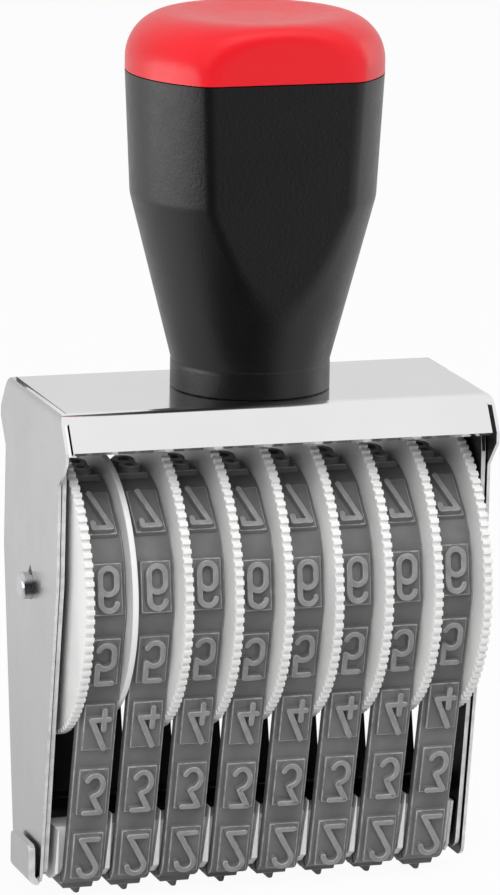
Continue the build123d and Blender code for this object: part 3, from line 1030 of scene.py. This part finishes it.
def rounded(outline, corner, radius, steps=8):
    """Round one corner of an outline with an arc."""
    before, here, after = (Vector(outline[corner + step]) for step in (-1, 0, 1))
    back = (before - here).normalized()
    onward = (after - here).normalized()
    half = back.angle(onward) / 2
    inset = radius / (sin(half) / cos(half))
    centre = here + (back + onward).normalized() * (radius / sin(half))
    first = here + back * inset - centre
    last = here + onward * inset - centre
    start = atan2(first.y, first.x)
    swing = (atan2(last.y, last.x) - start + pi) % (2 * pi) - pi
    turns = [start + swing * step / steps for step in range(steps + 1)]
    bend = [(centre.x + radius * cos(turn), centre.y + radius * sin(turn)) for turn in turns]
    return outline[:corner] + bend + outline[corner + 1:]


def divided(outline, longest):
    """Add points so that no run of an outline is longer than a given length."""
    points = [outline[0]]
    for start, end in zip(outline, outline[1:]):
        parts = int(hypot(end[0] - start[0], end[1] - start[1]) / longest) + 1
        for part in range(1, parts + 1):
            share = part / parts
            points.append((start[0] + (end[0] - start[0]) * share, start[1] + (end[1] - start[1]) * share))
    return points


# %% Model the handle
neck_radius = 8.8 * MM
neck_top = roof_height + 3.1 * MM
neck_groove = 0.06 * MM
neck_edge = 0.15 * MM
shoulder_radius = 13.5 * MM
shoulder_height = roof_height + 21.5 * MM
shoulder_corner, shoulder_round = 5, 4.0 * MM
handle_flat_edge = 0.35 * MM
handle_outline = [
    (0, roof_height),
    (neck_radius - neck_edge, roof_height),
    (neck_radius, roof_height + neck_edge),
    (neck_radius, neck_top - 2 * neck_groove),
    (neck_radius - neck_groove, neck_top),
    (shoulder_radius, shoulder_height),
    (top_radius, seam_height),
    (0, seam_height),
]
handle_outline = rounded(handle_outline, shoulder_corner, shoulder_round, 12)
handle_outline = divided(handle_outline, 0.5 * MM)
handle = spin_outline("black_handle", handle_outline)
press_flats(handle, handle_flat_edge, handle_flat_edge)
handle.data.materials.append(black_plastic)
smooth(handle, 30)
belongs(handle, "housing", "black_plastic", "handle_body")

# %% Model the cap
cap_bottom = seam_height + 0.12 * MM
cap_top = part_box("handle_cap")[1].z
dish_radius = 8.6 * MM
dish_floor = 4.0 * MM
dish_depth = 0.5 * MM
cap_rounds = ((4, 8.0 * MM, 8), (3, 5.0 * MM, 8), (2, 5.0 * MM, 16))
cap_outline = [
    (0, cap_bottom),
    (top_radius, cap_bottom),
    (top_radius, cap_top),
    (dish_radius, cap_top),
    (dish_floor, cap_top - dish_depth),
    (0, cap_top - dish_depth),
]
for corner, radius, steps in cap_rounds:
    cap_outline = rounded(cap_outline, corner, radius, steps)
cap_outline = divided(cap_outline, 0.4 * MM)
cap = spin_outline("red_cap", cap_outline)
press_flats(cap, 0.7 * MM, 2.2 * MM)
cap.data.materials.append(red_plastic)
smooth(cap, 30)
belongs(cap, "housing", "red_plastic", "handle_cap")

# %% [markdown]
# ## Screw and washer
# The screw and its washer sit under the roof, where little light reaches them. They stay as packed, in
# turned steel.

# %% Finish the hidden fasteners
for node in ("handle_screw", "handle_washer"):
    nodes[node].data.materials.clear()
    nodes[node].data.materials.append(turned_steel)
    print(node, "is in", turned_steel.name)

# %% [markdown]
# ## Floor, light and camera
# The floor and the surroundings are white where they are seen, and plain soft lamps light the object at a
# level where a colour looks as it is written. Polished pieces show their surroundings, so rays from a gloss
# see a room of their own: white, but dark in front, where the viewer would stand.


# %% Rays that see the surroundings
def ray_kinds(tree):
    """Two values: 1 for rays from the camera, and 1 for rays from a gloss or a see-through surface."""
    path = tree.nodes.new("ShaderNodeLightPath")
    either = larger(tree, path.outputs["Is Glossy Ray"], path.outputs["Is Transmission Ray"])
    return path.outputs["Is Camera Ray"], either


def mixed(tree, share, first, second):
    """One shader that turns into another as a share goes from 0 to 1."""
    mix = tree.nodes.new("ShaderNodeMixShader")
    tree.links.new(share, mix.inputs["Fac"])
    tree.links.new(first, mix.inputs[1])
    tree.links.new(second, mix.inputs[2])
    return mix.outputs["Shader"]


def even_light(tree, strength, kind="ShaderNodeBackground"):
    light = tree.nodes.new(kind)
    light.inputs["Color"].default_value = (1, 1, 1, 1)
    light.inputs["Strength"].default_value = strength
    return light


front_turn = radians(-25)
front_dark = ((0.42, 1), (0.6, 0.75), (0.74, 0.3), (0.86, 0.03))


def towards_front(tree, direction):
    """Colour of the surroundings in a gloss: white, but dark where the direction points to the front."""
    level = tree.nodes.new("ShaderNodeVectorMath")
    level.operation = "DOT_PRODUCT"
    level.inputs[1].default_value = (sin(front_turn), -cos(front_turn), 0)
    tree.links.new(direction, level.inputs[0])
    ramp = tree.nodes.new("ShaderNodeValToRGB")
    steps = ramp.color_ramp.elements
    for step, (position, value) in zip(steps, (front_dark[0], front_dark[-1])):
        step.position, step.color = position, (value, value, value, 1)
    for position, value in front_dark[1:-1]:
        steps.new(position).color = (value, value, value, 1)
    tree.links.new(level.outputs["Value"], ramp.inputs["Fac"])
    return ramp.outputs["Color"]


# %% World
world = bpy.data.worlds.new("studio")
bpy.context.scene.world = world
world.use_nodes = True
tree = world.node_tree
from_camera, from_gloss = ray_kinds(tree)
room = even_light(tree, 1.0)
direction = tree.nodes.new("ShaderNodeTexCoord")
split = tree.nodes.new("ShaderNodeSeparateXYZ")
tree.links.new(direction.outputs["Generated"], split.inputs["Vector"])
by_height = map_range(tree, split.outputs["Z"], (0.25, 0.7, 0.78, 1.0))
tree.links.new(by_height, room.inputs["Strength"])
tree.links.new(towards_front(tree, direction.outputs["Generated"]), room.inputs["Color"])
soft = even_light(tree, 0.28)
lit = mixed(tree, from_gloss, soft.outputs["Background"], room.outputs["Background"])
shown = mixed(tree, from_camera, lit, even_light(tree, 1.0).outputs["Background"])
tree.links.new(shown, tree.nodes["World Output"].inputs["Surface"])
print("world nodes:", len(tree.nodes))


# %% [markdown]
# ### Floor
# The floor is pale paper that takes the shadow. To the camera it is nearly all plain white. In a reflection
# it glows with the tone of the room, and a painted shade makes it a little darker near the object.

# %% Floor
def part_of(tree, ray, amount):
    """A share of one kind of ray."""
    share = tree.nodes.new("ShaderNodeMath")
    share.operation = "MULTIPLY"
    share.inputs[1].default_value = amount
    tree.links.new(ray, share.inputs[0])
    return share.outputs["Value"]


bpy.ops.mesh.primitive_plane_add(size=5, location=(0, 0, -0.01 * MM))
floor = added("studio_floor")
floor_finish = finish("floor_paper", paint(232, 232, 232), 0.0, 0.9)
vary_colour(floor_finish, noise(floor_finish, 6), paint(231, 231, 231), paint(234, 234, 234))
tree = floor_finish.node_tree
from_camera, from_gloss = ray_kinds(tree)
place = tree.nodes.new("ShaderNodeTexCoord")
outwards = tree.nodes.new("ShaderNodeVectorMath")
outwards.operation = "NORMALIZE"
tree.links.new(place.outputs["Object"], outwards.inputs[0])
glow_in_gloss = even_light(tree, 1.0, "ShaderNodeEmission")
tree.links.new(towards_front(tree, outwards.outputs["Vector"]), glow_in_gloss.inputs["Color"])
away = tree.nodes.new("ShaderNodeVectorMath")
away.operation = "LENGTH"
tree.links.new(place.outputs["Object"], away.inputs[0])
# Painted shade: the glow seen in a gloss falls off near the object.
painted_shade_near_object = map_range(tree, away.outputs["Value"], (0.02, 0.2, 0.7, 0.88))
tree.links.new(painted_shade_near_object, glow_in_gloss.inputs["Strength"])
paper = tree.nodes["Principled BSDF"].outputs["BSDF"]
in_gloss = mixed(tree, part_of(tree, from_gloss, 0.97), paper, glow_in_gloss.outputs["Emission"])
white = even_light(tree, 1.0, "ShaderNodeEmission")
blend = mixed(tree, part_of(tree, from_camera, 0.95), in_gloss, white.outputs["Emission"])
tree.links.new(blend, tree.nodes["Material Output"].inputs["Surface"])
floor.data.materials.append(floor_finish)


# %% [markdown]
# ### Lamps
# Two large lamps, from above and from the front, light it softly. They aren't mirrored, so that the
# polished lip and roof show only the room. A low card on the left and a weak lamp on the right draw the
# edges of the handle.

# %% Lamps
def softbox(name, place, size, watts, aim=(0, 0, 0.05), mirrored=True):
    """A rectangular lamp that aims at a point. Unless it is mirrored, polished pieces don't show it."""
    bpy.ops.object.light_add(type="AREA", location=place)
    lamp = bpy.context.object
    lamp.name = name
    lamp.data.shape = "RECTANGLE"
    lamp.data.size, lamp.data.size_y = size
    lamp.data.energy = watts
    lamp.visible_glossy = mirrored
    view = Vector(aim) - Vector(place)
    lamp.rotation_euler = view.to_track_quat("-Z", "Y").to_euler()
    print(name, "watts:", watts)


softbox("key_lamp", (0.08, -0.42, 0.78), (0.7, 0.6), 4.2, mirrored=False)
softbox("front_lamp", (-0.42, -0.58, 0.42), (0.5, 0.5), 2.4, mirrored=False)
softbox("left_card", (-0.45, 0.04, 0.075), (0.42, 0.34), 1.1, aim=(-0.25, 0.04, 0.475))
softbox("right_lamp", (0.7, 0.1, 0.2), (0.5, 0.4), 0.5)

# %% [markdown]
# ### Camera
# A long lens from well away keeps the sides of the object nearly parallel. It looks down a little, from the
# left of the front. A small shift puts the object in its place.

# %% Camera
turn, tilt, roll = radians(-17.613), radians(12.281), radians(0.969)
distance = 0.74855
focal_pixels = 6786.7
image_width, image_height = 500, 895
middle_x, middle_y = 248.6, 438.82
sensor = 36.0
back = Vector((sin(turn) * cos(tilt), -cos(turn) * cos(tilt), sin(tilt)))
level_right = Vector((cos(turn), sin(turn), 0))
level_up = back.cross(level_right)
camera_right = level_right * cos(roll) + level_up * sin(roll)
camera_up = level_up * cos(roll) - level_right * sin(roll)
target = Vector((0, 0, 0.05))
bpy.ops.object.camera_add()
camera = bpy.context.object
turned = Matrix((camera_right, camera_up, back)).transposed()
camera.matrix_world = Matrix.Translation(target + back * distance) @ turned.to_4x4()
camera.data.sensor_width = sensor
camera.data.lens = focal_pixels / image_height * sensor
camera.data.shift_x = (image_width / 2 - middle_x) / image_height
camera.data.shift_y = (middle_y - image_height / 2) / image_height
bpy.context.scene.camera = camera
bpy.context.scene.view_settings.view_transform = "Standard"
print("camera lens in mm:", round(camera.data.lens, 1))
